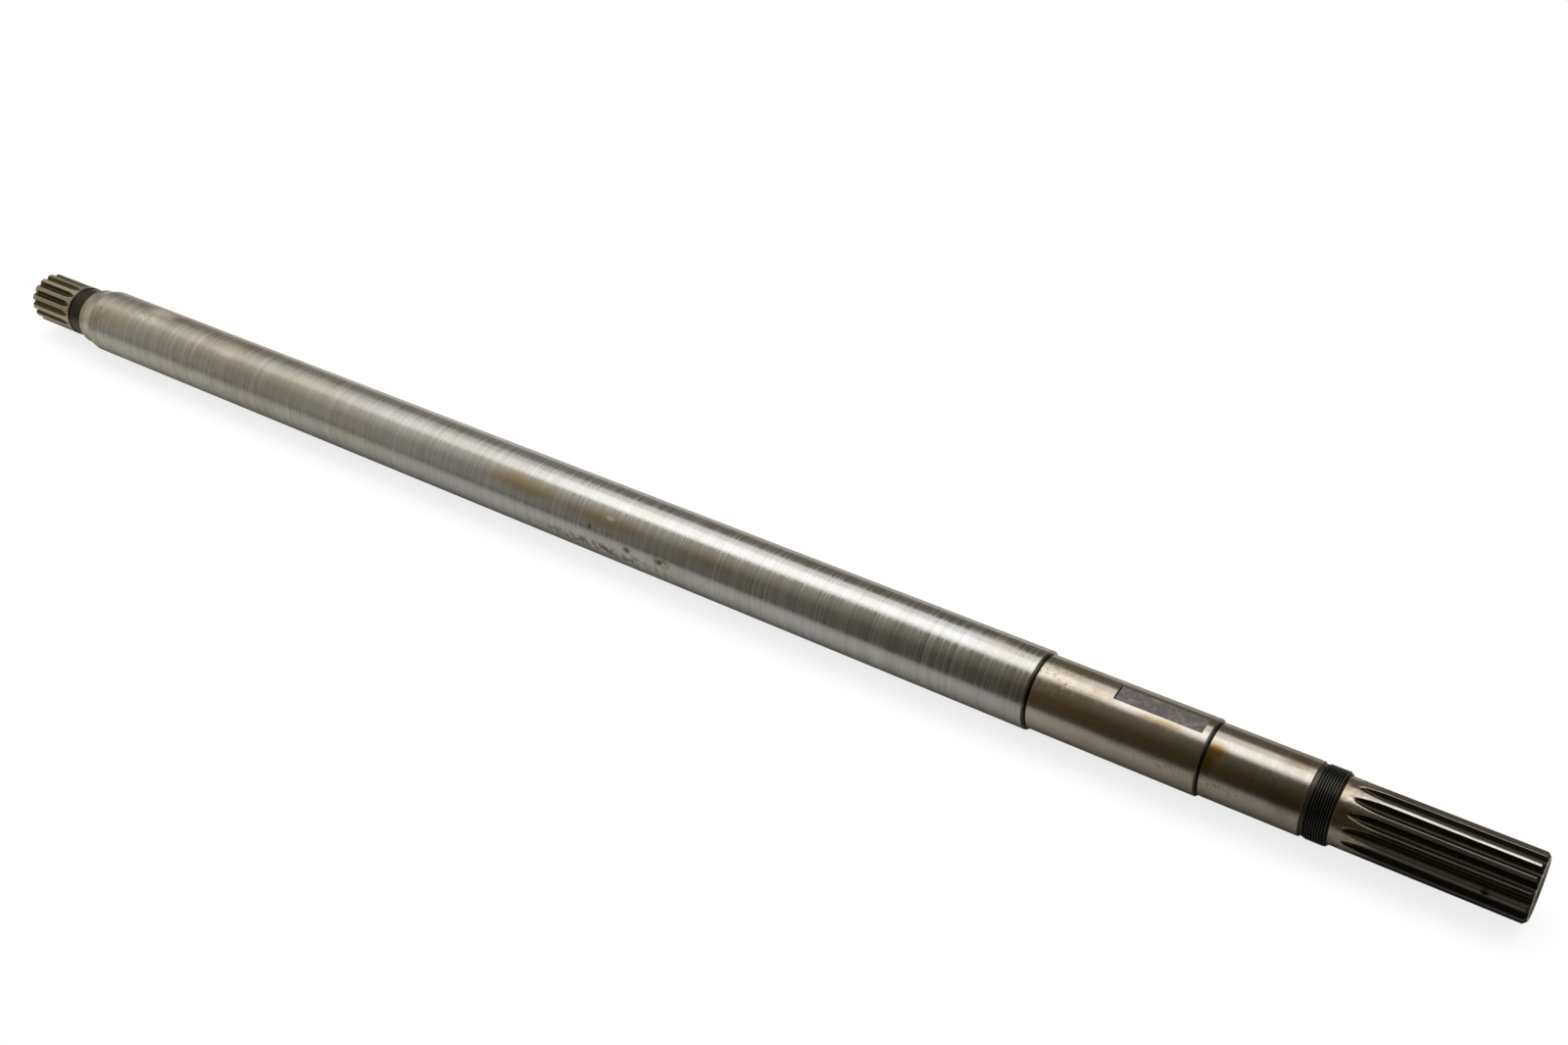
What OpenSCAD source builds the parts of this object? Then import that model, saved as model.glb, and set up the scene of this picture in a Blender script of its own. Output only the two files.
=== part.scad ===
// Splined drive shaft, turned, milled and ground from one steel bar, in millimetres.
// The axis is X, with the short spline at the -X end and the long spline at the +X end.
// The milled flat on the seal journal faces +Z. The origin is on the axis, halfway along.

/* [Short spline] */
// Outside diameter of the short spline
short_d = 27.2; // [26.8:0.1:29]
// Number of teeth on the short spline
short_teeth = 15; // [12:1:18]
// Depth of its tooth spaces
short_depth = 1.8; // [1.2:0.1:2.2]
// Width of its teeth at the tip
short_land = 2; // [1.2:0.1:2.4]
// Length from the end face to the neck
short_len = 32; // [20:0.5:60]
// Plain length between the last of the cut and the neck
short_plain = 1; // [0.5:0.1:4]
// Turn of one tooth space from the flat, in degrees
short_turn = 0; // [0:0.5:36]
// Chamfer on the end
short_chamfer = 0.6; // [0.3:0.1:1.2]

/* [Neck and collar] */
// Diameter of the relief neck
neck_d = 26.4; // [25:0.1:26.6]
// Width of the relief neck
neck_w = 11.5; // [6:0.5:20]
// Fillet where the neck meets the collar
neck_fillet = 1; // [0.4:0.1:1.2]
// Diameter of the collar
collar_d = 30.4; // [29.6:0.1:32]
// Width of the collar
collar_w = 3; // [1:0.5:10]
// Length of the taper from the collar up to the body
taper_len = 7.5; // [3:0.5:15]

/* [Body] */
// Diameter of the long body
body_d = 34; // [33:0.1:40]
// Length of the long body, from the taper to its shoulder
body_len = 577.5; // [200:0.5:900]

/* [Seal journal] */
// Diameter of the seal journal
seal_d = 31.8; // [31:0.1:32.8]
// Length of the seal journal, from shoulder to shoulder
seal_len = 73; // [72:0.5:120]
// Length of the milled flat
flat_len = 37; // [10:0.5:38]
// Width of the milled flat
flat_w = 8; // [4:0.1:12]
// Distance from the body's shoulder to the flat
flat_start = 33.2; // [5:0.1:34]

/* [Bearing journal] */
// Diameter of the bearing journal
bearing_d = 30; // [29.6:0.01:30.6]
// Length of the bearing journal, from its shoulder to the thread's undercut
bearing_len = 41; // [20:0.5:60]

/* [Shoulders] */
// Width of the grinding relief at each shoulder
relief_w = 1.6; // [1:0.1:3]
// Depth of that relief below its journal
relief_depth = 0.35; // [0.1:0.05:0.6]
// Edge break on each ground shoulder
edge_break = 0.3; // [0.1:0.05:0.5]

/* [Nut thread] */
// Major diameter of the nut thread
thread_d = 29.9; // [28.6:0.1:30.6]
// Length of the thread with its front chamfer
thread_len = 8.7; // [6:0.1:20]
// Chamfer at the front of the thread
thread_chamfer = 1.1; // [0.8:0.1:1.3]
// Width of the undercut behind the thread
undercut_w = 2.3; // [1.5:0.1:4]
// Depth of that undercut
undercut_depth = 0.6; // [0.3:0.1:0.9]

/* [Long spline] */
// Outside diameter of the long spline
long_d = 27.2; // [24:0.1:27.6]
// Number of teeth on the long spline
long_teeth = 14; // [11:1:17]
// Depth of its tooth spaces
long_depth = 2; // [1.4:0.1:2.4]
// Width of its teeth at the tip
long_land = 1.5; // [1:0.1:2]
// Length from the thread to the end face
long_len = 72; // [40:0.5:120]
// Plain length between the thread and the start of the cut
long_plain = 4.2; // [2:0.1:10]
// Turn of one tooth space from the flat, in degrees
long_turn = 19; // [0:0.5:36]
// Chamfer on the end
long_chamfer = 1.5; // [0.5:0.1:2]

/* [Spline cutters] */
// Radius of the disc cutter that leaves the long spline's run-outs
long_cutter_r = 40; // [25:1:46]
// Radius of the disc cutter that leaves the short spline's run-outs
short_cutter_r = 14; // [12:1:30]
// Angle between a tooth's flank and the middle of its space
flank_angle = 42; // [36:1:44]

/* [Centre holes] */
// Diameter of the pilot drill
pilot_d = 5; // [3:0.1:6]
// Depth of the pilot drill from the end face
pilot_depth = 12; // [8:0.5:20]
// Diameter of the 60 degree centre at the end face
centre_d = 10.6; // [7:0.1:12]

/* [Hidden] */
$fn = 96;
steel = [0.62, 0.59, 0.54];

// Stations along the axis, from the short spline's end face to the long spline's
total_len = short_len + neck_w + collar_w + taper_len + body_len
    + seal_len + bearing_len + undercut_w + thread_len + long_len;
x_start = -total_len / 2;
x_neck = x_start + short_len;
x_collar = x_neck + neck_w;
x_taper = x_collar + collar_w;
x_body = x_taper + taper_len;
x_seal = x_body + body_len;
x_bearing = x_seal + seal_len;
x_undercut = x_bearing + bearing_len;
x_thread = x_undercut + undercut_w;
x_long = x_thread + thread_len;
x_end = x_long + long_len;

// Half angles of a centre and of a pilot drill's point
centre_half_angle = 30;
drill_half_angle = 59;
// How far each cutter reaches past the surface that it cuts
over = 0.6;
// Turn of the disc cutter before its lowest point, and after it until it clears the surface
cutter_lead = 5;
cutter_sweep = 45;
// Height of its lowest point above the space, so that the two cuts cross and don't just touch
cutter_step = 0.02;
// Steps in a tooth space's round root and in the neck's fillet
root_steps = 8;
fillet_steps = 5;

// Step down from radius r_high to radius r_low at station x, ground on both sides:
// the edge break, the face, the relief below the journal and its slope out to the journal
function shoulder(r_high, r_low, x) = [
    [r_high, x - edge_break],
    [r_high - edge_break, x],
    [r_low - relief_depth, x],
    [r_low - relief_depth, x + relief_w - relief_depth],
    [r_low, x + relief_w]];

// Quarter round from a cylinder of radius r up a face at station x
function fillet(r, x, radius) = [
    for (i = [0:fillet_steps])
        let (a = 90 * i / fillet_steps)
        [r + radius * (1 - cos(a)), x - radius * (1 - sin(a))]];

// Half of the shaft's long section, as [radius, station] points
section = concat(
    [[0, x_start],
     [short_d / 2 - short_chamfer, x_start],
     [short_d / 2, x_start + short_chamfer],
     [short_d / 2, x_neck],
     [neck_d / 2, x_neck + short_d / 2 - neck_d / 2]],
    fillet(neck_d / 2, x_collar, neck_fillet),
    [[collar_d / 2 - edge_break, x_collar],
     [collar_d / 2, x_collar + edge_break],
     [collar_d / 2, x_taper],
     [body_d / 2, x_body]],
    shoulder(body_d / 2, seal_d / 2, x_seal),
    shoulder(seal_d / 2, bearing_d / 2, x_bearing),
    [[bearing_d / 2, x_undercut - edge_break],
     [bearing_d / 2 - edge_break, x_undercut],
     [bearing_d / 2 - undercut_depth, x_undercut],
     [bearing_d / 2 - undercut_depth, x_thread - undercut_depth],
     [thread_d / 2, x_thread],
     [thread_d / 2, x_long - thread_chamfer],
     [thread_d / 2 - thread_chamfer, x_long],
     [long_d / 2, x_long],
     [long_d / 2, x_end - long_chamfer],
     [long_d / 2 - long_chamfer, x_end],
     [0, x_end]]);

// The bar as it leaves the lathe, drawn round from the side that carries the flat
module turned_bar() {
    rotate([180, -90, 0])
        rotate_extrude()
            polygon(section);
}

// One tooth space of a spline of radius r, as [sideways, height above the root] points:
// a round root that runs into straight flanks, which meet the tips half_angle from the middle
function space(r, depth, half_angle) =
    let (
        tip_side = r * sin(half_angle),
        tip_height = r * cos(half_angle) - r + depth,
        root_r = (tip_side / tan(flank_angle) - tip_height) / (1 / sin(flank_angle) - 1),
        top_side = tip_side + (depth + over - tip_height) * tan(flank_angle),
        root_turn = 90 - flank_angle)
    concat(
        [[-top_side, depth + over]],
        [for (i = [0:root_steps])
            let (a = root_turn * (2 * i / root_steps - 1))
            [root_r * sin(a), root_r * (1 - cos(a))]],
        [[top_side, depth + over]]);

// Length over which a disc cutter lifts out of a space of this depth
function run_out(depth, cutter_r) = sqrt(depth * (2 * cutter_r - depth));

// Cutter for one space at +Z: straight at full depth from x_full to x_face, and at x_full
// a part turn of the disc, which lifts out towards -X along its own rim
module space_cutter(points, root_height, cutter_r, x_full, x_face) {
    translate([x_full, 0, root_height]) {
        rotate([90, 0, 90])
            linear_extrude(x_face - x_full + over)
                polygon(points);
        translate([0, 0, cutter_r + cutter_step])
            rotate([-90, 90 - cutter_lead, 0])
                rotate_extrude(angle = cutter_lead + cutter_sweep)
                    polygon([for (p = points) [cutter_r - p[1], p[0]]]);
    }
}

// All the spaces of a spline whose cut starts at station x_cut and runs out at x_face
module spline_cutters(r, teeth, depth, land, turn, cutter_r, x_cut, x_face) {
    half_angle = (360 / teeth - land / r * 180 / PI) / 2;
    points = space(r, depth, half_angle);
    for (i = [0:teeth - 1])
        rotate([turn + i * 360 / teeth, 0, 0])
            space_cutter(points, r - depth, cutter_r, x_cut + run_out(depth, cutter_r), x_face);
}

module long_spline_cutters() {
    spline_cutters(long_d / 2, long_teeth, long_depth, long_land, long_turn,
        long_cutter_r, x_long + long_plain, x_end);
}

module short_spline_cutters() {
    mirror([1, 0, 0])
        spline_cutters(short_d / 2, short_teeth, short_depth, short_land, short_turn,
            short_cutter_r, short_plain - x_neck, -x_start);
}

// The cutter's path for the flat, as wide as its chord on the journal with room at both edges
module flat_cutter() {
    seal_r = seal_d / 2;
    chord_height = sqrt(pow(seal_r, 2) - pow(flat_w / 2, 2));
    translate([x_seal + flat_start, -flat_w / 2 - over, chord_height])
        cube([flat_len, flat_w + 2 * over, seal_r - chord_height + over]);
}

// A drilled centre in an end face, with the drill going towards +Z
module centre_hole() {
    cone_height = (centre_d - pilot_d) / 2 / tan(centre_half_angle);
    rotate_extrude()
        polygon([
            [0, -over],
            [centre_d / 2 + over * tan(centre_half_angle), -over],
            [pilot_d / 2, cone_height],
            [pilot_d / 2, pilot_depth],
            [0, pilot_depth + pilot_d / 2 / tan(drill_half_angle)]]);
}

module drive_shaft() {
    color(steel)
        difference() {
            turned_bar();
            short_spline_cutters();
            long_spline_cutters();
            flat_cutter();
            translate([x_start, 0, 0])
                rotate([0, 90, 0])
                    centre_hole();
            translate([x_end, 0, 0])
                rotate([0, -90, 0])
                    centre_hole();
        }
}

drive_shaft();
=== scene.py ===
"""A splined steel drive shaft, turned, milled and ground, lying on a pale floor.

The shaft's surface is worked out with numpy from the part's own sizes, in millimetres.
Its axis is X, the short spline is at -X, the long spline at +X, and the flat faces +Z.
"""
import math

import bmesh
import bpy
import numpy as np
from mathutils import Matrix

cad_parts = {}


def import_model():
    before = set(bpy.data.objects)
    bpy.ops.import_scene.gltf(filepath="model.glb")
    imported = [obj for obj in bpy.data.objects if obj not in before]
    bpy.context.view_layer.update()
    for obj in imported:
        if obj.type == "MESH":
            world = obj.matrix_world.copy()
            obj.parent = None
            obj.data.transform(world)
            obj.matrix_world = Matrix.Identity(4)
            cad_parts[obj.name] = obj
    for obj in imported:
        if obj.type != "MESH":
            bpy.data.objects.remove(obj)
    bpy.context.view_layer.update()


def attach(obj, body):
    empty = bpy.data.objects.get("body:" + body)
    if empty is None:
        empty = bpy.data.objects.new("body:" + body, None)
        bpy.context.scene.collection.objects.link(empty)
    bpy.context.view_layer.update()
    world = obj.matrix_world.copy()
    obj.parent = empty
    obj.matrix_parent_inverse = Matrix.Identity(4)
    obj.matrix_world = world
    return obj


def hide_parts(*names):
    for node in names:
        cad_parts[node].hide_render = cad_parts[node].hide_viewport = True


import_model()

MM = 0.001

# Radii, depths and widths of the shaft, as in the part's source
SPLINE_R = 13.6
NECK_R = 13.2
COLLAR_R = 15.2
BODY_R = 17.0
SEAL_R = 15.9
BEARING_R = 15.0
THREAD_R = 14.95
THREAD_DEPTH = 0.61
PITCH = 1.0
UNDERCUT_DEPTH = 0.6
UNDERCUT_R = BEARING_R - UNDERCUT_DEPTH
SHORT_CHAMFER = 0.6
THREAD_CHAMFER = 1.1
NECK_FILLET = 1.0
EDGE_BREAK = 0.3
RELIEF_W = 1.6
RELIEF_DEPTH = 0.35
FLAT_HALF_W = 4.0
FLANK = math.radians(42)

# Lengths along the axis, from the short spline's end face to the long spline's
SHORT_LEN = 32.0
NECK_W = 11.5
COLLAR_W = 3.0
TAPER_LEN = 7.5
BODY_LEN = 577.5
SEAL_LEN = 73.0
BEARING_LEN = 41.0
UNDERCUT_W = 2.3
THREAD_LEN = 8.7
LONG_LEN = 72.0
FLAT_LEN = 37.0
# Plain length between each spline's cut and its neighbour, and from the shoulder to the flat
SHORT_PLAIN = 1.0
LONG_PLAIN = 4.2
FLAT_OFFSET = 33.2

# Stations along the axis, with the origin halfway
X_START = -(SHORT_LEN + NECK_W + COLLAR_W + TAPER_LEN + BODY_LEN + SEAL_LEN + BEARING_LEN
            + UNDERCUT_W + THREAD_LEN + LONG_LEN) / 2
X_NECK = X_START + SHORT_LEN
X_COLLAR = X_NECK + NECK_W
X_TAPER = X_COLLAR + COLLAR_W
X_BODY = X_TAPER + TAPER_LEN
X_SEAL = X_BODY + BODY_LEN
X_BEARING = X_SEAL + SEAL_LEN
X_UNDERCUT = X_BEARING + BEARING_LEN
X_THREAD = X_UNDERCUT + UNDERCUT_W
X_LONG = X_THREAD + THREAD_LEN
X_END = X_LONG + LONG_LEN
FLAT_START = X_SEAL + FLAT_OFFSET
FLAT_END = FLAT_START + FLAT_LEN
SHORT_CUT = X_NECK - SHORT_PLAIN
LONG_CUT = X_LONG + LONG_PLAIN
THREAD_RISE = X_THREAD - UNDERCUT_DEPTH

# Columns of the mesh round the shaft, and on half a land
COLUMNS = 420
LAND_COLUMNS = 5
# Angle from the column on a tooth's edge to its neighbours, and least angle of that column
EDGE_GAP = math.radians(0.45)
LEAST_EDGE = math.radians(2)
# Rounds of the two searches that place a cut on its ray and find its edge
RAY_STEPS = 14
HALVINGS = 40
# Width of the round on a tooth's edge, and how far below the tips the spaces are cut
EDGE_BLEND = 0.22
CUT_REACH = 2.6
# How far each spline's cut runs on past the end face, which is more than its run-out
PAST_END = 40
# Length of the flat's steep end walls, and round at the bottom of a shoulder's face
FLAT_WALL = 0.02
RELIEF_ROUND = 0.12
# A plain row this far before an edge keeps the shading of the long surface behind it even
HOLD = 0.3
# Distance in pitches from a thread root's middle to the root's edge and to the crest's edge
ROOT_EDGE = 0.125
CREST_EDGE = 0.4375
# Length over which the thread fades into the undercut
THREAD_FADE = 0.5
# Points closer than this are one, and edges sharper than this stay sharp
MERGE = 0.0008
SHARP = math.radians(34)

# Worn chamfer of the long spline: distance from the end face and depth below the tips
LONG_CHAMFER = ((1.0, 0.55), (0.5, 1.03), (0.12, 1.4))
# Radii of the rows on the two end faces
SHORT_FACE = (7.5, 10.0, 12.2)
LONG_FACE = (11.45, 10.4, 8.9, 7.2)
# A drilled centre: depth below the end face and radius
CENTRE_HOLE = ((0, 5.45), (0.15, 5.2), (4.85, 2.5), (12, 2.5), (13.5, 0.0))


class Spline:
    """A ring of tooth spaces, each a round root that runs into straight flanks."""

    def __init__(self, teeth, depth, land, turn, shift, cutter_r, cut_from, cut_to):
        """Turn is the angle in degrees from the flat to a space, and shift is the number of
        columns by which the grid starts before that space. The root's round touches both
        flanks, so root_r = (tip_side / tan(flank) - tip_height) / (1 / sin(flank) - 1)."""
        self.teeth, self.depth, self.turn, self.shift = teeth, depth, turn, shift
        self.cutter_r = cutter_r
        self.full_from, self.full_to = cut_from + self.run_out(), cut_to - self.run_out()
        self.half_pitch = math.pi / teeth
        self.tip_angle = self.half_pitch - land / SPLINE_R / 2
        tip_side = SPLINE_R * math.sin(self.tip_angle)
        tip_height = SPLINE_R * math.cos(self.tip_angle) - SPLINE_R + depth
        self.root_r = (tip_side / math.tan(FLANK) - tip_height) / (1 / math.sin(FLANK) - 1)

    def run_out(self):
        """Length over which the disc lifts out: sqrt(depth (2 cutter_r - depth))."""
        return math.sqrt(self.depth * (2 * self.cutter_r - self.depth))

    def height(self, side):
        """Height above the root at a sideways distance: the circle
        root_r - sqrt(root_r^2 - side^2) up to where it is as steep as the flank, and the
        straight flank beyond."""
        side = np.abs(side)
        turn_side = self.root_r * math.cos(FLANK)
        arc = self.root_r - np.sqrt(self.root_r ** 2 - np.minimum(side, turn_side) ** 2)
        return arc + np.maximum(side - turn_side, 0) / math.tan(FLANK)

    def lifted(self, side, back):
        """Height of the cut at a distance back from full depth, where the disc turns out of
        the steel: cutter_r - sqrt((cutter_r - height)^2 - back^2)."""
        reach = np.maximum(self.cutter_r - self.height(side), 0)
        return self.cutter_r - np.sqrt(np.maximum(reach ** 2 - back ** 2, 0))

    def back(self, x):
        """Distance from the nearest station at which the spaces have their full depth."""
        return np.maximum(np.maximum(self.full_from - x, x - self.full_to), 0)

    def radius(self, angle, back):
        """Distance from the shaft's axis to the cut, seen at an angle from the middle of a
        space: the point (r sin a, r cos a) is moved along its ray until it lies on the cut."""
        r = np.full(np.broadcast(angle, back).shape, SPLINE_R)
        for _ in range(RAY_STEPS):
            r = (SPLINE_R - self.depth + self.lifted(r * np.sin(angle), back)) / np.cos(angle)
        return r

    def edge(self, bar_r, back):
        """Angle from the middle of a space at which its cut meets the bar, by halving."""
        low, high = np.zeros_like(bar_r), np.full_like(bar_r, self.half_pitch)
        for _ in range(HALVINGS):
            middle = (low + high) / 2
            inside = self.radius(middle, back) < bar_r
            low, high = np.where(inside, middle, low), np.where(inside, high, middle)
        return np.clip((low + high) / 2, LEAST_EDGE, self.tip_angle)

    def columns(self, edge):
        """Angles of the grid's columns at one row, with a column on each edge of each space
        and close pairs beside it, so that the edge stays clean where the space narrows."""
        half = COLUMNS // self.teeth // 2
        in_space = np.linspace(0, edge - EDGE_GAP, half - LAND_COLUMNS)
        on_land = np.linspace(edge + EDGE_GAP, self.half_pitch, LAND_COLUMNS)
        side = np.concatenate([in_space, [edge], on_land])
        tooth = np.concatenate([side, 2 * self.half_pitch - side[-2:0:-1]])
        tooth = tooth[:COLUMNS // self.teeth]
        number = np.arange(COLUMNS) - self.shift
        return (math.pi / 2 + math.radians(self.turn)
                + number // len(tooth) * 2 * self.half_pitch + tooth[number % len(tooth)])

    def off_middle(self, angle):
        """Signed angle from the middle of the nearest space."""
        turned = angle - math.pi / 2 - math.radians(self.turn) + self.half_pitch
        return turned % (2 * self.half_pitch) - self.half_pitch


short_spline = Spline(teeth=15, depth=1.8, land=2.0, turn=0, shift=0, cutter_r=14.0,
                      cut_from=X_START - PAST_END, cut_to=SHORT_CUT)
long_spline = Spline(teeth=14, depth=2.0, land=1.5, turn=19, shift=22, cutter_r=40.0,
                     cut_from=LONG_CUT, cut_to=X_END + PAST_END)


def lower_of(one, other):
    """The smaller of two radii, with the edge where they cross rounded off: within the blend's
    width, near^2 * blend / 4 is taken away, where near goes from 0 to 1 at the crossing."""
    near = np.maximum(EDGE_BLEND - np.abs(one - other), 0) / EDGE_BLEND
    return np.minimum(one, other) - near ** 2 * EDGE_BLEND / 4


def corner(x, r, dx, dr, steps=3):
    """Quarter round from (x, r) to (x + dx, r + dr), by the sine and 1 - cosine of a turn. It
    leaves along the axis where dr is negative, and along the radius where it is positive."""
    turn = np.linspace(0, math.pi / 2, steps + 1)
    if dr < 0:
        return [(x + dx * math.sin(a), r + dr * (1 - math.cos(a))) for a in turn]
    return [(x + dx * (1 - math.cos(a)), r + dr * math.sin(a)) for a in turn]


def along(x_from, x_to, r, rows):
    """Rows of one radius along the axis, ends left out."""
    return [(x, r) for x in np.linspace(x_from, x_to, rows + 2)[1:-1]]


def broken_edge(x, r):
    """A plain row and then the rounded edge of a ground diameter that ends at x."""
    return ([(x - EDGE_BREAK - HOLD, r)]
            + corner(x - EDGE_BREAK, r, EDGE_BREAK, -EDGE_BREAK))


def shoulder(x, r_high, r_low):
    """A ground step down: rounded edge, face, relief groove and its slope to the journal."""
    low = r_low - RELIEF_DEPTH
    return (broken_edge(x, r_high)
            + corner(x + RELIEF_ROUND, low, -RELIEF_ROUND, RELIEF_ROUND, 2)[::-1]
            + [(x + RELIEF_W - RELIEF_DEPTH, low), (x + RELIEF_W, r_low)])


def centre_hole(x, inward):
    """A drilled centre from its mouth at the end face down to the drill's point."""
    return [(x + inward * depth, r) for depth, r in CENTRE_HOLE]


# Finishes, by the number that each strip of faces carries
BODY, JOURNAL, FLAT, THREAD, LONG, SHORT, END = range(7)


def left_rows():
    """Rows from the bottom of the left centre hole to the undercut, as
    (x, r, columns, finish)."""
    rows = [(x, r, "short", END) for x, r in centre_hole(X_START, 1)[::-1]]
    rows += [(X_START, r, "short", END) for r in SHORT_FACE]
    rows += [(x, r, "short", SHORT) for x, r in
             [(X_START, SPLINE_R - SHORT_CHAMFER),
              (X_START + SHORT_CHAMFER / 2, SPLINE_R - SHORT_CHAMFER / 2),
              (X_START + SHORT_CHAMFER, SPLINE_R)]
             + along(X_START + SHORT_CHAMFER, short_spline.full_to, SPLINE_R, 3)
             + along(short_spline.full_to - 0.5, SHORT_CUT + 0.3, SPLINE_R, 17)]
    rows += [(x, r, "even", SHORT) for x, r in
             [(X_NECK - 0.1, SPLINE_R), (X_NECK, SPLINE_R - 0.1), (X_NECK + 0.3, NECK_R)]
             + along(X_NECK + 0.3, X_COLLAR - NECK_FILLET, NECK_R, 2)
             + corner(X_COLLAR - NECK_FILLET, NECK_R, NECK_FILLET, NECK_FILLET, 5)
             + corner(X_COLLAR + EDGE_BREAK, COLLAR_R, -EDGE_BREAK, -EDGE_BREAK)[::-1]
             + [(X_TAPER - HOLD, COLLAR_R), (X_TAPER, COLLAR_R)]]
    rows += [(x, r, "even", BODY) for x, r in
             [(X_TAPER + 0.5, COLLAR_R + 0.12), (X_BODY - 0.5, BODY_R - 0.12),
              (X_BODY, BODY_R), (X_BODY + 0.5, BODY_R)]
             + along(X_BODY + 0.5, X_SEAL - EDGE_BREAK, BODY_R, 10)]
    rows += [(x, r, "even", JOURNAL) for x, r in
             shoulder(X_SEAL, BODY_R, SEAL_R)
             + along(X_SEAL + RELIEF_W, FLAT_START, SEAL_R, 2)
             + [(FLAT_START, SEAL_R), (FLAT_START + FLAT_WALL, SEAL_R)]
             + along(FLAT_START, FLAT_END, SEAL_R, 3)
             + [(FLAT_END - FLAT_WALL, SEAL_R), (FLAT_END, SEAL_R)]
             + shoulder(X_BEARING, SEAL_R, BEARING_R)
             + along(X_BEARING + RELIEF_W, X_UNDERCUT - EDGE_BREAK, BEARING_R, 4)
             + broken_edge(X_UNDERCUT, BEARING_R)]
    rows += [(x, r, "even", THREAD) for x, r in
             [(X_UNDERCUT, UNDERCUT_R + 0.1), (X_UNDERCUT + 0.1, UNDERCUT_R),
              (THREAD_RISE, UNDERCUT_R)]]
    return rows


def right_rows():
    """Rows from the front of the thread to the bottom of the right centre hole."""
    rows = [(x, r, "even", LONG) for x, r in
            [(X_LONG, THREAD_R - THREAD_CHAMFER), (X_LONG + 0.02, SPLINE_R + 0.1),
             (X_LONG + 0.12, SPLINE_R), (X_LONG + 1.6, SPLINE_R)]]
    rows += [(x, r, "long", LONG) for x, r in
             along(LONG_CUT - 0.5, long_spline.full_from + 0.5, SPLINE_R, 26)
             + along(long_spline.full_from + 0.5, X_END - 1.8, SPLINE_R, 8)
             + corner(X_END - 1.8, SPLINE_R, 0.3, -0.05, 2)
             + [(X_END - back, SPLINE_R - depth) for back, depth in LONG_CHAMFER]]
    rows += [(x, r, "long", END) for x, r in
             [(X_END, r) for r in LONG_FACE] + centre_hole(X_END, -1)]
    return rows


def grid(rows):
    """Points of a grid of rows by columns. Each row is a circle of the bar's radius, lowered
    where a tooth space or the flat cuts it. The flat is the plane at its own height,
    r = height / cos(angle from +Z)."""
    x = np.array([row[0] for row in rows])[:, None]
    bar_r = np.array([row[1] for row in rows])[:, None]
    even = math.pi / 2 + np.arange(COLUMNS) * 2 * math.pi / COLUMNS
    angle = np.tile(even, (len(rows), 1))
    r = np.repeat(bar_r, COLUMNS, axis=1)
    for name, spline in (("short", short_spline), ("long", long_spline)):
        use = np.array([row[2] == name for row in rows])
        if not use.any():
            continue
        outer = (use & (bar_r[:, 0] > SPLINE_R - CUT_REACH))[:, None]
        back = spline.back(x)
        edge = spline.edge(np.where(outer, bar_r, SPLINE_R), back)
        for i in np.flatnonzero(use):
            angle[i] = spline.columns(edge[i, 0])
        off = spline.off_middle(angle)
        r = np.where(outer, lower_of(r, spline.radius(off, back)), r)
    flat_height = math.sqrt(SEAL_R ** 2 - FLAT_HALF_W ** 2)
    from_top = angle - math.pi / 2
    from_top = (from_top + math.pi) % (2 * math.pi) - math.pi
    on_flat = ((x > FLAT_START + FLAT_WALL / 2) & (x < FLAT_END - FLAT_WALL / 2)
               & (np.abs(from_top) < 0.5))
    plane_r = flat_height / np.cos(np.where(on_flat, from_top, 0))
    r = np.where(on_flat, np.minimum(r, plane_r), r)
    return np.stack([np.broadcast_to(x, r.shape), r * np.cos(angle), r * np.sin(angle)], axis=-1)


def thread_grid():
    """The nut thread, on rows that follow its helix: x = row + pitch * angle / turn, held
    between the undercut and the thread's front. Its depth below the crest is a straight flank
    from crest to root, and fades into the undercut; the bar's chamfer cuts it off in front."""
    steps = 0.5 + np.array([-CREST_EDGE, -ROOT_EDGE, 0, ROOT_EDGE, CREST_EDGE])
    turns = np.arange(-1, math.ceil(X_LONG - THREAD_RISE) + 1)
    rows = (turns[:, None] + steps).ravel() * PITCH
    turn = np.linspace(0, 1, COLUMNS + 1)
    x = np.clip(THREAD_RISE + rows[:, None] + PITCH * turn, THREAD_RISE, X_LONG)
    bar_r = np.interp(x, [THREAD_RISE, X_THREAD, X_LONG - THREAD_CHAMFER, X_LONG],
                      [UNDERCUT_R, THREAD_R, THREAD_R, THREAD_R - THREAD_CHAMFER])
    phase = np.abs((rows / PITCH) % 1 - 0.5)[:, None]
    depth = THREAD_DEPTH * np.clip((CREST_EDGE - phase) / (CREST_EDGE - ROOT_EDGE), 0, 1)
    cut = THREAD_R - depth * np.clip((x - THREAD_RISE) / THREAD_FADE, 0, 1)
    r = np.minimum(bar_r, cut)
    angle = math.pi / 2 + turn * 2 * math.pi
    return np.stack([x, r * np.cos(angle), r * np.sin(angle)], axis=-1)


def quads(rows, columns, wrap, start):
    """Corner numbers of a grid's faces, outward sides first, closed round the shaft if wrap.
    The point of row i and column j has the number start + i * columns + j."""
    i = np.arange(rows - 1)[:, None]
    j = np.arange(columns if wrap else columns - 1)[None, :]
    k = (j + 1) % columns
    corners = [i * columns + j, i * columns + k, (i + 1) * columns + k, (i + 1) * columns + j]
    return start + np.stack(corners, axis=-1).reshape(-1, 4)


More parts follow.
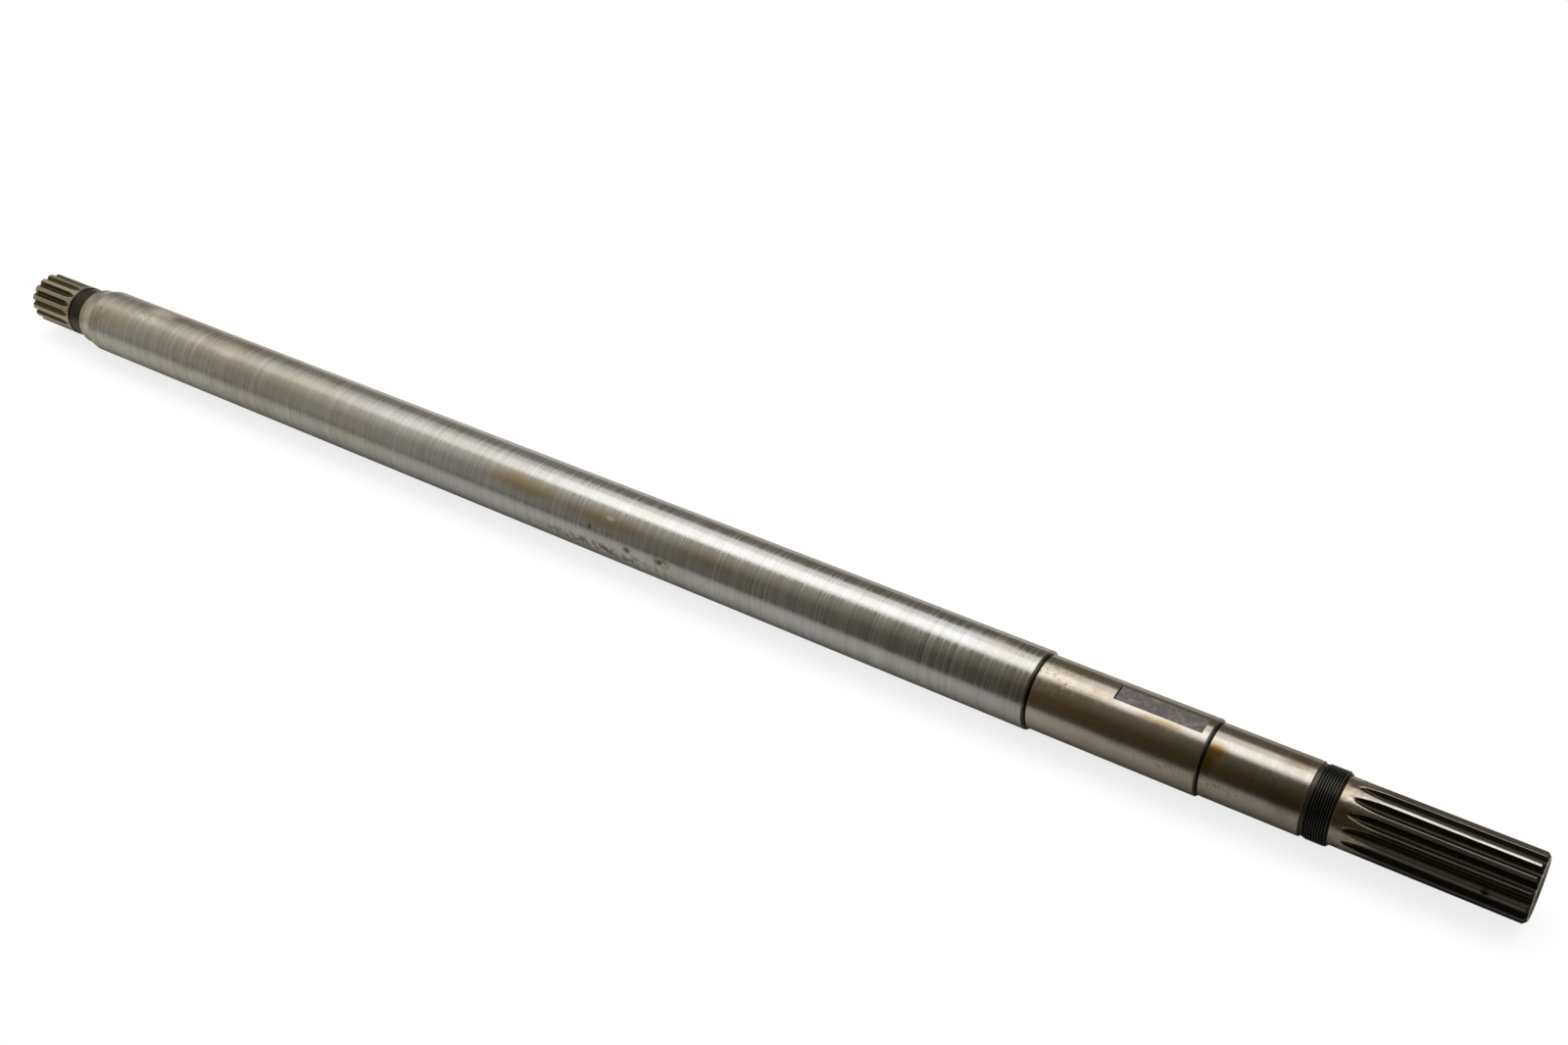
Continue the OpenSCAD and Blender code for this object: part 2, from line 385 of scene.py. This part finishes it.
def shaft_surface():
    """Points, faces and finish numbers of the whole shaft: the rows left of the thread, the
    thread, and the rows right of it. A strip has the finish of the row on its left."""
    points, faces, finishes = [], [], []
    count = 0
    for rows in (left_rows(), None, right_rows()):
        if rows is None:
            part = thread_grid()
            finish = np.full(part.shape[0] - 1, THREAD)
        else:
            part = grid(rows)
            finish = np.array([row[3] for row in rows[:-1]])
        n_rows, n_columns = part.shape[:2]
        corners = quads(n_rows, n_columns, rows is not None, count)
        points.append(part.reshape(-1, 3))
        faces.append(corners)
        finishes.append(np.repeat(finish, len(corners) // len(finish)))
        count += n_rows * n_columns
    points, faces, finishes = (np.concatenate(parts) for parts in (points, faces, finishes))
    middle = points[faces].mean(axis=1)
    on_flat = ((finishes == JOURNAL) & (middle[:, 0] > FLAT_START) & (middle[:, 0] < FLAT_END)
               & (middle[:, 2] > 0) & (np.abs(middle[:, 1]) < FLAT_HALF_W))
    finishes[on_flat] = FLAT
    return points, faces, finishes


def drive_shaft():
    """The whole shaft as one closed mesh, its three parts joined where they meet."""
    points, faces, finishes = shaft_surface()
    mesh = bpy.data.meshes.new("drive_shaft_steel")
    mesh.from_pydata((points * MM).tolist(), [], faces.tolist())
    mesh.polygons.foreach_set("material_index", finishes.astype(np.int32))
    mesh.polygons.foreach_set("use_smooth", np.ones(len(faces), bool))
    work = bmesh.new()
    work.from_mesh(mesh)
    bmesh.ops.remove_doubles(work, verts=work.verts, dist=MERGE * MM)
    work.to_mesh(mesh)
    work.free()
    mesh.set_sharp_from_angle(angle=SHARP)
    shaft = bpy.data.objects.new("drive_shaft_steel", mesh)
    bpy.context.scene.collection.objects.link(shaft)
    return shaft


class Link:
    """A node's output, with arithmetic: each operator adds the Math node that does it."""

    def __init__(self, finish, socket):
        self.finish, self.socket = finish, socket

    def __add__(self, other):
        return self.finish.math("ADD", self, other)

    def __radd__(self, other):
        return self.finish.math("ADD", other, self)

    def __sub__(self, other):
        return self.finish.math("SUBTRACT", self, other)

    def __rsub__(self, other):
        return self.finish.math("SUBTRACT", other, self)

    def __mul__(self, other):
        return self.finish.math("MULTIPLY", self, other)

    def __rmul__(self, other):
        return self.finish.math("MULTIPLY", other, self)

    def __truediv__(self, other):
        return self.finish.math("DIVIDE", self, other)

    def __rtruediv__(self, other):
        return self.finish.math("DIVIDE", other, self)

    def __pow__(self, other):
        return self.finish.math("POWER", self, other)

    def __rpow__(self, other):
        return self.finish.math("POWER", other, self)


# Numbers of the outputs used of the Texture Coordinate and Light Path nodes
WAY, OBJECT_PLACE = 0, 3
CAMERA_RAY, DIFFUSE_RAY, TRANSMISSION_RAY = 0, 2, 6
BLACK, WHITE = (0.0, 0.0, 0.0), (1.0, 1.0, 1.0)


class Finish:
    """A node tree with short ways to add to it."""

    def __init__(self, tree):
        self.tree = tree
        tree.nodes.clear()

    def node(self, kind, settings=None, inputs=None, output=0):
        """Adds a node: its settings first, then the values or links of its inputs. Gives one
        of its outputs."""
        node = self.tree.nodes.new("ShaderNode" + kind)
        for name, value in (settings or {}).items():
            setattr(node, name, value)
        for name, value in (inputs or {}).items():
            socket = node.inputs[name]
            if isinstance(value, Link):
                self.tree.links.new(value.socket, socket)
            elif isinstance(value, tuple) and len(value) == 3 and len(socket.default_value) == 4:
                socket.default_value = (*value, 1)
            else:
                socket.default_value = value
        return Link(self, node.outputs[output]) if len(node.outputs) else node

    def math(self, operation, *values):
        """A Math node on one or two values."""
        return self.node("Math", {"operation": operation}, dict(enumerate(values)))

    def mix(self, share, one, other):
        """Colour one, and other where share is 1. The Mix node's colours are its inputs 6 and
        7 and its output 2."""
        return self.node("Mix", {"data_type": "RGBA"}, {0: share, 6: one, 7: other}, 2)

    def parts(self, place):
        """The X, Y and Z of a place or a direction."""
        return [self.node("SeparateXYZ", {}, {0: place}, i) for i in range(3)]

    def fade(self, value, start, end):
        """A smooth rise from 0 at start to 1 at end."""
        smooth = {"interpolation_type": "SMOOTHSTEP"}
        return self.node("MapRange", smooth, {0: value, 1: start, 2: end})

    def band(self, value, start, end, soft):
        """1 between start and end, with edges soft wide."""
        rise = self.fade(value, start - soft, start + soft)
        return rise * (1 - self.fade(value, end - soft, end + soft))

    def seen(self):
        """1 for what the camera sees, straight or through something clear."""
        through = self.node("LightPath", output=TRANSMISSION_RAY)
        return self.math("MAXIMUM", self.node("LightPath", output=CAMERA_RAY), through)


class SteelFinish(Finish):
    """A steel material on Object coordinates. x is the distance along the shaft, and out_r
    the distance from its axis, in millimetres. turn is the angle round it in degrees, from the
    near side towards the top. up is how far up a place lies, from -1 underneath to 1 on top."""

    def __init__(self, name):
        self.material = bpy.data.materials.new(name)
        self.material.use_nodes = True
        super().__init__(self.material.node_tree)
        self.place = self.node("TexCoord", output=OBJECT_PLACE)
        x, y, z = self.parts(self.place)
        self.x = x * 1000
        self.turn = self.math("ARCTAN2", z, y * -1) * (180 / math.pi)
        self.out_r = self.math("SQRT", y * y + z * z) * 1000
        self.up = z * 1000 / self.out_r

    def noise(self, scale, detail, rough, stretch=(1, 1, 1), offset=0.0, place=None):
        """Noise with as many features per millimetre as scale says, each way times stretch."""
        moved = self.node("Mapping", {}, {
            0: place or self.place, 1: (offset, 0, 0), 3: tuple(1000 * s for s in stretch)})
        return self.node("TexNoise", {}, {
            "Vector": moved, "Scale": scale, "Detail": detail, "Roughness": rough})

    def patches(self, scale, least, most, stretch=(1, 1, 1), offset=0.0, detail=4, rough=0.65):
        """Uneven patches: 0 where the noise is under least, and 1 where it is over most."""
        return self.fade(self.noise(scale, detail, rough, stretch, offset), least, most)

    def specks(self, scale, least, offset=0.0):
        """Scattered specks: 1 where fine noise is well above least."""
        return self.patches(scale, least, least + 0.1, offset=offset)

    def grinding(self, across, round_it=0.012, offset=0.0):
        """Lines that a grinding wheel leaves round the shaft: noise with as many features per
        millimetre as across says along the axis, and far fewer round it."""
        return self.patches(across, 0.32, 0.68, (1, round_it, round_it), offset, 1.5, 0.6)

    def most(self, *values):
        """The largest of several values."""
        result = values[0]
        for value in values[1:]:
            result = self.math("MAXIMUM", result, value)
        return result

    def spot(self, x, turn, half_x, half_turn):
        """A soft round spot at a station and a turn: 1 in its middle, 0 past its rim."""
        across, round_it = (self.x - x) / half_x, (self.turn - turn) / half_turn
        return 1 - self.fade(self.math("SQRT", across * across + round_it * round_it), 0.2, 1.0)

    def steel(self, colour, rough, bump=None, bump_mm=0.002, metal=1.0):
        """The steel's surface, from its colour, roughness and height in units of bump_mm."""
        inputs = {"Base Color": colour, "Roughness": rough, "Metallic": metal}
        if bump is not None:
            raised = {"Strength": 1.0, "Distance": bump_mm * MM, "Height": bump}
            inputs["Normal"] = self.node("Bump", {}, raised)
        self.node("OutputMaterial", {}, {0: self.node("BsdfPrincipled", {}, inputs)})
        return self.material


def ground_body():
    """Satin ground steel, dull and beige towards the short spline, where painted light makes the top
    lighter and warmer and painted shade darkens a band behind the top. Oil has left yellow stains,
    and there are a few pits, rust along the near lower side and dry patches by the taper."""
    s = SteelFinish("ground body steel")
    bright, beige_side, painted_light_beige_top = (0.675, 0.682, 0.69), (0.54, 0.538, 0.502), (0.6, 0.55, 0.475)
    score, grey_score = (0.26, 0.255, 0.24), (0.27, 0.285, 0.29)
    brown_oil, olive_oil_and_painted_shade, yellow_oil = (0.32, 0.26, 0.19), (0.3, 0.28, 0.23), (0.48, 0.375, 0.2)
    rust_brown, pit_brown, dry_white = (0.17, 0.115, 0.055), (0.13, 0.095, 0.055), (0.85, 0.78, 0.67)

    lines = s.grinding(0.85)
    bands = s.grinding(0.12, 0.02, 5.0)
    arcs = s.grinding(0.4, 0.02, 11.0)
    dull = 1 - s.fade(s.x, -340, -60)
    # Painted light: towards the short spline the top is set lighter and warmer than the side
    colour = s.mix(dull, bright, s.mix(s.fade(s.up, 0.25, 0.9), beige_side, painted_light_beige_top))
    colour = s.mix((1 - lines) * (0.3 + dull * 0.16) + (1 - arcs) * 0.12, colour, score)
    colour = s.mix((1 - arcs) * dull * 0.4, colour, grey_score)
    colour = s.mix(dull * s.patches(0.05, 0.45, 0.65, offset=6.0) * 0.5, colour, brown_oil)
    # Painted shade: towards the short spline a band behind the top, round turns 125 to 160, is
    # darkened olive
    painted_top_shade = dull * s.band(s.turn, 125, 160, 15)
    colour = s.mix((1 - bands) * 0.1 + painted_top_shade * 0.35, colour, olive_oil_and_painted_shade)

    film = s.patches(0.06, 0.45, 0.7, (0.5, 1, 1), 3.0, rough=0.6)
    yellow = s.most(s.spot(-46, 48, 34, 22), s.spot(2, 42, 42, 20) * 0.8,
                    s.spot(62, 40, 40, 18) * 0.6, film * 0.35)
    uneven = 0.55 + s.patches(0.12, 0.35, 0.6, (1, 0.5, 0.5), 8.0) * 0.45
    colour = s.mix(yellow * uneven * 0.85, colour, yellow_oil)

    rust = (s.spot(2, -7, 52, 14) * s.specks(0.25, 0.46)
            + s.spot(205, 60, 22, 70) * s.specks(0.7, 0.6) * 0.6)
    colour = s.mix(rust * 0.8, colour, rust_brown)
    pits = s.most(s.spot(17.3, 9.3, 2.8, 8), s.spot(37, 10, 6, 10) * s.specks(0.5, 0.4),
                  s.spot(-4.5, 24, 1.8, 6), s.spot(-352, 47, 10, 26) * s.specks(0.35, 0.52, 2.0) * 0.5,
                  s.specks(0.5, 0.71, 4.0))
    colour = s.mix(pits * 0.85, colour, pit_brown)
    dry = s.most(s.spot(-317, 104, 15, 22) * s.specks(0.2, 0.34),
                 s.spot(-320, 76, 12, 15) * s.specks(0.25, 0.4, 1.0),
                 s.spot(-255, 67, 8, 10) * 0.7, s.spot(5.3, 47.5, 4, 6), s.spot(196, 94, 16, 14) * 0.5)
    colour = s.mix(dry * 0.8, colour, dry_white)

    rough = 0.16 + lines * 0.13 + dull * 0.1 + s.most(dry, rust, pits) * 0.2
    return s.steel(colour, rough, lines * 0.4 - pits * 3, 0.003)


def ground_journal():
    """Smooth journal steel under a brown film, with a painted brown reflection in a band on the near
    side, golden stains by the flat and the groove, and black grime in the grooves."""
    s = SteelFinish("ground journal steel")
    clean, cloudy, score = (0.64, 0.6, 0.55), (0.56, 0.52, 0.45), (0.4, 0.36, 0.3)
    film_and_reflection_brown, painted_reflection_brown, gold_brown = (0.42, 0.33, 0.19), (0.62, 0.4, 0.18), (0.38, 0.22, 0.04)
    stain_brown, mark_brown, grime_black = (0.3, 0.2, 0.1), (0.2, 0.13, 0.06), (0.03, 0.028, 0.024)

    lines, bands = s.grinding(1.6, 0.03, 7.0), s.grinding(0.3, 0.05, 2.0)
    clouds = s.noise(0.07, 5, 0.65, (0.6, 1, 1))
    colour = s.mix(clouds, clean, cloudy)
    colour = s.mix((1 - lines) * 0.12 + bands * 0.1, colour, score)
    film = s.patches(0.09, 0.42, 0.66, (0.5, 1, 1), 9.0, 5, 0.7)
    # Brown film in patches; the bands round turns 22 to 50 and 28 to 42 are a painted brown reflection
    colour = s.mix(s.most(film * 0.35, s.band(s.turn, 22, 50, 14) * 0.5), colour, film_and_reflection_brown)
    colour = s.mix(s.band(s.turn, 28, 42, 7) * 0.5, colour, painted_reflection_brown)

    by_flat = s.spot(271, 67, 14, 9) * 0.7 * s.fade(clouds, 0.3, 0.55)
    gold = s.most(by_flat, s.spot(292, 44, 6, 32), s.spot(294.5, 60, 7, 18))
    past_groove = s.most(s.fade(s.x, X_BEARING, X_BEARING + 0.2), 1 - s.fade(s.x, 282, 286))
    colour = s.mix(gold * past_groove * 0.92, colour, gold_brown)
    brown = s.most(s.spot(324, 22, 12, 28), s.spot(325, 92, 10, 24), s.spot(232, 70, 24, 36),
                   s.spot(262, 20, 40, 12) * 0.7)
    colour = s.mix(brown * s.fade(clouds, 0.35, 0.6) * 0.55, colour, stain_brown)
    marks = s.most(s.spot(226, 70, 18, 45) * s.specks(0.6, 0.54),
                   s.spot(280, 9, 26, 14) * s.specks(0.9, 0.54, 3.0),
                   s.spot(302, 8, 18, 16) * s.specks(0.9, 0.53, 5.0), s.specks(0.8, 0.66, 8.0) * 0.7)
    colour = s.mix(marks * 0.45, colour, mark_brown)
    groove = s.most(*(s.band(s.x, x + 0.1, x + RELIEF_W, 0.12) for x in (X_SEAL, X_BEARING)))
    colour = s.mix(groove, colour, grime_black)

    rough = 0.25 + (clouds - 0.5) * 0.1 - lines * 0.05 + s.most(groove, marks) * 0.25
    return s.steel(colour, rough, lines * 0.4 + bands, 0.002)


def milled_flat():
    """The flat's dull milled floor, dark with oil, scratched and smeared, with a painted black
    shadow along the wall at its -X end."""
    s = SteelFinish("milled flat steel")
    dark, light = (0.1, 0.088, 0.088), (0.2, 0.178, 0.178)
    smeared, black = (0.37, 0.33, 0.32), (0.02, 0.018, 0.017)

    pits = s.noise(0.9, 5, 0.75)
    smear = s.patches(0.16, 0.42, 0.7, offset=2.0)
    slanted = s.node("Mapping", {}, {0: s.place, 2: (0, 0, 0.9)})
    scratches = s.fade(s.noise(0.5, 3, 0.7, (1, 0.07, 1), place=slanted), 0.5, 0.7)
    colour = s.mix(s.fade(pits, 0.3, 0.7), dark, light)
    colour = s.mix(smear * 0.55 + scratches * 0.35, colour, smeared)
    # Painted shadow: black along the wall at the flat's -X end
    colour = s.mix(1 - s.fade(s.x, FLAT_START + 0.3, FLAT_START + 0.9), colour, black)
    return s.steel(colour, 0.46, pits, 0.03, 0.8)


def dark_thread():
    """Black oil in the thread and its undercut, worn off the crests."""
    s = SteelFinish("dark nut thread steel")
    oil, worn, undercut = (0.02, 0.019, 0.016), (0.16, 0.155, 0.14), (0.09, 0.08, 0.062)
    crest = s.fade(s.out_r, THREAD_R - 0.3, THREAD_R - 0.02) * s.fade(s.x, X_THREAD - 0.3, X_THREAD)
    grime = s.noise(0.4, 4, 0.6)
    colour = s.mix(crest, oil, worn)
    colour = s.mix(1 - s.fade(s.x, X_THREAD - 0.9, X_THREAD - 0.5), colour, undercut)
    return s.steel(colour, 0.28 + grime * 0.15, None, 0.0, 0.9)


def long_spline_steel():
    """Worn lands between oily tooth spaces, with a painted highlight on one land and painted shade
    in the others' tones, a smooth stained length before the cut with a painted gold reflection
    band, and a painted highlight round the end face's rim."""
    s = SteelFinish("long spline steel")
    oil, thin_oil, nick_black = (0.022, 0.018, 0.012), (0.07, 0.06, 0.045), (0.02, 0.017, 0.014)
    worn_light, worn_dark, painted_highlight = (0.36, 0.335, 0.29), (0.22, 0.19, 0.155), (0.78, 0.76, 0.72)
    bare, painted_rim_highlight = (0.62, 0.57, 0.5), (0.6, 0.56, 0.48)
    gold_stain_and_painted_reflection, brown_speck = (0.36, 0.25, 0.09), (0.16, 0.1, 0.05)

    grime = s.noise(0.5, 5, 0.65, (0.7, 1, 1))
    wear = s.noise(0.4, 3, 0.6, (0.12, 1, 1), 4.0)
    chamfer = s.fade(s.x, X_END - 1.6, X_END - 1.2)
    land = s.fade(s.out_r, SPLINE_R - 0.28, SPLINE_R - 0.1) * (1 - chamfer * 0.5)
    worn = s.mix(s.fade(wear, 0.45, 0.7), worn_light, worn_dark)
    # Painted light on the land at turns 76 to 92: its tone is set darker, and a painted highlight runs
    # along its lower edge
    worn = s.mix(s.band(s.turn, 76, 92, 3), worn, (0.26, 0.23, 0.19))
    worn = s.mix(s.band(s.turn + (wear - 0.5) * 8, 76, 84.5, 0.7), worn, painted_highlight)
    # Painted shade: the other lands' tones are set by their height, from the top down
    worn = s.mix(1 - s.fade(s.up, 0.77, 0.97), worn, (0.24, 0.21, 0.175))
    worn = s.mix(s.band(s.up, 0.4, 0.65, 0.08), worn, (0.14, 0.115, 0.085))
    worn = s.mix(1 - s.fade(s.up, 0.09, 0.34), worn, (0.17, 0.155, 0.13))

    plain = 1 - s.fade(s.x, X_LONG + 6, X_LONG + 20)
    worn = s.mix(plain, worn, bare)
    # Gold stain from the grime's patches, and a painted gold reflection in a band round turns 12 to 58
    stain = s.most(s.fade(grime, 0.38, 0.6) * 0.5, s.band(s.turn, 12, 58, 12) * 0.8)
    worn = s.mix(plain * stain, worn, gold_stain_and_painted_reflection)
    worn = s.mix(plain * s.specks(0.7, 0.56) * 0.5, worn, brown_speck)

    nick = s.spot(398.7, 9, 2.2, 8)
    # Painted highlight: a light, less metallic ring at the end face's rim
    rim = s.fade(s.x, X_END - 0.4, X_END - 0.15)
    colour = s.mix(land, s.mix(grime, oil, thin_oil), worn)
    colour = s.mix(nick, colour, nick_black)
    colour = s.mix(rim, colour, painted_rim_highlight)
    bump = grime * (1 - land) - nick * 8
    return s.steel(colour, 0.34 - land * 0.12, bump, 0.008, 0.95 - rim * 0.55)


def short_spline_steel():
    """Olive oil film in the short spline, worn lands, a black neck and a bare collar."""
    s = SteelFinish("short spline steel")
    oil, thin_oil, neck_black = (0.045, 0.036, 0.018), (0.1, 0.078, 0.042), (0.034, 0.028, 0.023)
    worn, bare, stained = (0.4, 0.35, 0.26), (0.46, 0.41, 0.34), (0.28, 0.235, 0.175)
    grime = s.noise(0.35, 5, 0.65, (0.5, 1, 1))
    teeth = 1 - s.fade(s.x, X_NECK - 1.2, X_NECK - 0.2)
    land = s.fade(s.out_r, SPLINE_R - 0.4, SPLINE_R - 0.1) * teeth
    collar = s.fade(s.x, X_COLLAR - 0.1, X_COLLAR + 0.3)
    colour = s.mix(1 - teeth, s.mix(grime, oil, thin_oil), neck_black)
    colour = s.mix(land * 0.9, colour, worn)
    colour = s.mix(collar, colour, s.mix(grime, bare, stained))
    return s.steel(colour, 0.34, grime * teeth, 0.006, 0.95)


def drilled_end():
    """The dull faces and drilled centres of both ends."""
    s = SteelFinish("drilled end steel")
    grime = s.noise(0.4, 4, 0.6)
    colour = s.mix(grime, (0.12, 0.105, 0.08), (0.26, 0.24, 0.2))
    return s.steel(colour, 0.4, grime, 0.01)


def dress(shaft):
    """Gives the shaft its finishes, in the order of their numbers, and its place in the part."""
    for material in (ground_body(), ground_journal(), milled_flat(), dark_thread(),
                     long_spline_steel(), short_spline_steel(), drilled_end()):
        shaft.data.materials.append(material)
    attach(shaft, "root")
    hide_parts("drive_shaft")


def floor():
    """A pale floor under the shaft, white to the camera away from it, with the shaft's soft
    shadow. What the shaft mirrors of it has painted shade, darker in front and to the right and
    lighter to the left, and a painted shadow underneath."""
    half, low = 4.0, -BODY_R * MM
    corners = [(-half, -half, low), (half, -half, low), (half, half, low), (-half, half, low)]
    mesh = bpy.data.meshes.new("floor")
    mesh.from_pydata(corners, [], [(0, 1, 2, 3)])
    plane = bpy.data.objects.new("floor", mesh)
    bpy.context.scene.collection.objects.link(plane)
    material = bpy.data.materials.new("pale floor")
    material.use_nodes = True
    f = Finish(material.node_tree)
    seen = f.seen()
    x, y, _ = f.parts(f.node("TexCoord", output=OBJECT_PLACE))
    past_end = f.math("MAXIMUM", f.math("ABSOLUTE", x) - 0.35, 0.0)
    away = f.math("SQRT", past_end ** 2 + y * y)
    # Painted shade on what the shaft mirrors of the floor: darker far in front and to the right,
    # lighter to the left
    in_front = f.fade(y * -1, 0.03, 0.2) * (0.7 + f.fade(x, -0.35, 0.2) * 0.2)
    to_right = f.fade(x, 0.1, 0.36) * 0.45
    to_left = f.fade(x * -1, 0.12, 0.4) * 0.6
    near = (1 - in_front) * (1 - to_right) * (1 + to_left)
    # Painted shadow on what the shaft mirrors of the floor right under it
    under = 0.4 + f.fade(f.math("ABSOLUTE", y), -0.012, 0.022) * 0.6
    mirrored = f.mix(near * under * 0.5, BLACK, (1.0, 0.97, 0.91))
    paper = f.mix(seen, mirrored, (0.3, 0.3, 0.3))
    lit = f.node("AddShader", {}, {
        0: f.node("BsdfDiffuse", {}, {"Color": paper}),
        1: f.node("Emission", {}, {"Strength": seen * 0.76})})
    white = f.node("Emission", {}, {"Strength": seen})
    surface = f.node("MixShader", {}, {0: seen * f.fade(away, 0.02, 0.2), 1: lit, 2: white})
    f.node("OutputMaterial", {}, {0: surface})
    mesh.materials.append(material)


def softbox(name, turn, half_turn, reach, length, middle, radiance):
    """A long soft light parallel to the shaft, at a turn round it from the near side towards
    the top."""
    width = 2 * reach * math.tan(math.radians(half_turn))
    light = bpy.data.lights.new(name, "AREA")
    light.shape, light.size, light.size_y = "RECTANGLE", length, width
    light.energy = radiance * math.pi * length * width
    lamp = bpy.data.objects.new(name, light)
    angle = math.radians(turn)
    lamp.location = (middle, -reach * math.cos(angle), reach * math.sin(angle))
    lamp.rotation_euler = (math.pi / 2 - angle, 0, 0)
    lamp.visible_camera = False
    bpy.context.scene.collection.objects.link(lamp)


def softboxes():
    """Three softboxes over the shaft, each in three lengths that get dimmer towards -X."""
    for place, middle, length, share, front in (
            ("right", 0.35, 1.6, 1.0, 1.0), ("middle", -0.6, 0.4, 0.9, 1.4),
            ("left", -1.35, 1.1, 0.4, 1.4)):
        softbox(place + " top softbox", 105, 12.5, 1.1, length, middle, 1.5 * share)
        softbox(place + " rear softbox", 128, 9.5, 1.2, length, middle, 0.9 * share)
        softbox(place + " front softbox", 88, 5.5, 1.1, length, middle, front * share)


def world():
    """White behind everything that the camera sees. The studio round the shaft is dim in front
    and paler towards both ends, most of all -X, and the back."""
    studio = bpy.data.worlds.new("studio")
    studio.use_nodes = True
    bpy.context.scene.world = studio
    w = Finish(studio.node_tree)
    x, y, z = w.parts(w.node("TexCoord", output=WAY))
    ends = x * x
    left = 1 - w.fade(x, 0.0, 0.4) * 0.75
    near_side = ends * (1 - w.fade(y, -0.3, 0.3)) * 0.65
    above = w.fade(z, 0.45, 0.9) * 1.2
    behind = w.fade(y, 0.3, 1.0) * 0.1
    in_front = w.band(z, 0.15, 0.65, 0.2) * w.fade(y * -1, 0.3, 0.8) * 0.015
    pale = ends * left * (0.46 + near_side + above) + behind + in_front
    tint = w.mix(w.fade(ends, 0.05, 0.4), (1.0, 0.87, 0.62), (1.0, 0.95, 0.84))
    mirrored = w.node("Background", {}, {0: w.mix(pale, BLACK, tint)})
    soft = w.node("Background", {}, {
        0: (0.5, 0.5, 0.5), 1: w.node("LightPath", output=DIFFUSE_RAY)})
    both = w.node("AddShader", {}, {0: mirrored, 1: soft})
    white = w.node("Background", {}, {0: WHITE})
    w.node("OutputWorld", {}, {0: w.node("MixShader", {}, {0: w.seen(), 1: both, 2: white})})


def camera():
    """The photograph's view, found from its perspective."""
    data = bpy.data.cameras.new("camera")
    data.lens, data.sensor_width = 40.67, 36.0
    view = bpy.data.objects.new("camera", data)
    view.location = (0.44701, -0.47319, 0.50256)
    view.rotation_euler = tuple(math.radians(a) for a in (51.710, 3.209, 34.172))
    bpy.context.scene.collection.objects.link(view)
    bpy.context.scene.camera = view


dress(drive_shaft())
floor()
softboxes()
world()
camera()
bpy.context.scene.view_settings.view_transform = "Standard"
